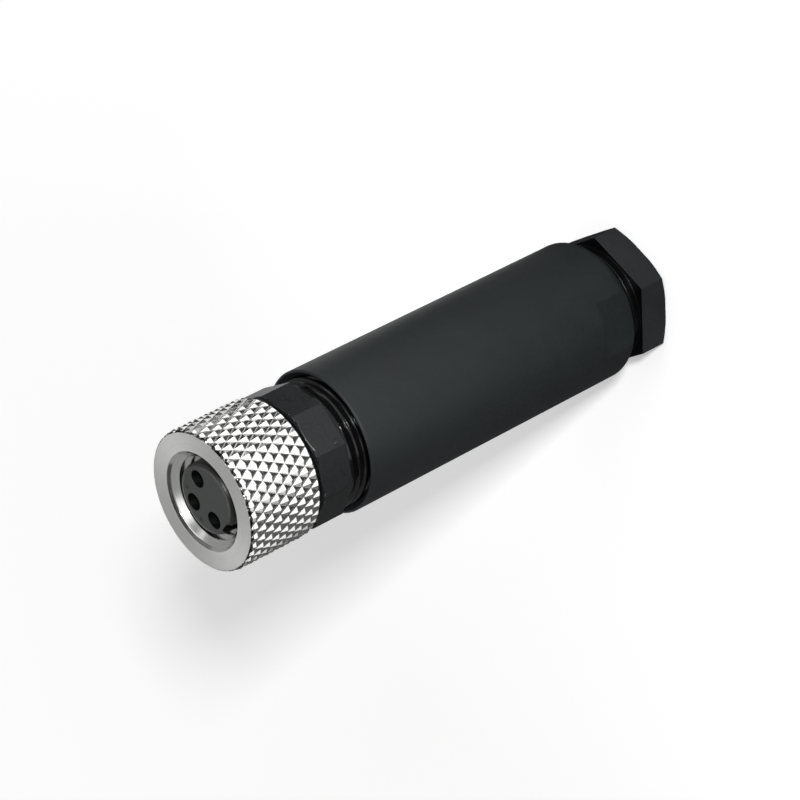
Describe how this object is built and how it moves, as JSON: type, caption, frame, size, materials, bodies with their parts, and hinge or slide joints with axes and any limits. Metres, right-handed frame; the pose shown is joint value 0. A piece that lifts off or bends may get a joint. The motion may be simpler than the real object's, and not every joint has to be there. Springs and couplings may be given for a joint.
{
  "type": "female circular connector",
  "caption": "Straight female circular cable connector with a knurled coupling ring, sockets in a dark insert, a long round sleeve and a hexagon nut that clamps the cable.",
  "frame": {"origin": "middle of the pressing nut's flat end face, on which the connector stands", "axes": "+Z along the connector's axis, from the cable end to the socket face; +X and +Y across it, with the first socket at 122 degrees from +X"},
  "size_m": [0.012, 0.012, 0.0456],
  "materials": {
    "sleeve_plastic": "fine matte moulded texture, charcoal",
    "nut_plastic": "satin moulded, charcoal",
    "body_plastic": "glossy moulded, black",
    "insert_plastic": "satin moulded, dark grey",
    "ring_metal": "turned and knurled, bright plated",
    "contact_metal": "turned and plated",
    "screw_metal": "zinc plated",
    "seal_rubber": "matte, black",
    "cage_plastic": "satin moulded, pale grey"
  },
  "bodies": {
    "nut": {"pressing_nut": "nut_plastic"},
    "cage": {"clamp_cage": "cage_plastic", "thrust_washer": "cage_plastic"},
    "sleeve": {"sleeve": "sleeve_plastic", "cable_seal": "seal_rubber"},
    "body_seal": {"body_seal_ring": "seal_rubber"},
    "socket": {"socket_body": "body_plastic", "contact_insert": "insert_plastic", "nose_seal_ring": "seal_rubber", "socket_contact_1": "contact_metal", "socket_contact_2": "contact_metal", "socket_contact_3": "contact_metal"},
    "ring": {"coupling_ring": "ring_metal"},
    "screw_1": {"terminal_screw_1": "screw_metal"},
    "screw_2": {"terminal_screw_2": "screw_metal"},
    "screw_3": {"terminal_screw_3": "screw_metal"}
  },
  "joints": [
    {"name": "nut_turn", "type": "hinge", "parent": "nut", "child": "cage", "pos_m": [0, 0, 0.0045], "axis": [0, 0, 1], "range_deg": [-540, 1800]},
    {"name": "nut_travel", "type": "slide", "parent": "cage", "child": "sleeve", "axis": [0, 0, 1], "range_m": [-0.00112, 0.00375]},
    {"name": "body_travel", "type": "slide", "parent": "sleeve", "child": "body_seal", "axis": [0, 0, 1], "range_m": [-0.00075, 0.00375]},
    {"name": "body_turn", "type": "hinge", "parent": "body_seal", "child": "socket", "pos_m": [0, 0, 0.034], "axis": [0, 0, 1], "range_deg": [-360, 1800]},
    {"name": "ring_spin", "type": "hinge", "parent": "socket", "child": "ring", "pos_m": [0, 0, 0.042], "axis": [0, 0, 1], "continuous": true},
    {"name": "screw_1_travel", "type": "slide", "parent": "socket", "child": "screw_1", "axis": [0.5299, -0.848, 0], "range_m": [0, 0.0007]},
    {"name": "screw_2_travel", "type": "slide", "parent": "socket", "child": "screw_2", "axis": [0.848, 0.5299, 0], "range_m": [0, 0.0007]},
    {"name": "screw_3_travel", "type": "slide", "parent": "socket", "child": "screw_3", "axis": [-0.5299, 0.848, 0], "range_m": [0, 0.0007]}
  ],
  "couplings": [
    {"joint": "nut_turn", "follows": "nut_travel", "rad_per_m": 8377.6},
    {"joint": "body_turn", "follows": "body_travel", "rad_per_m": 8377.6}
  ]
}
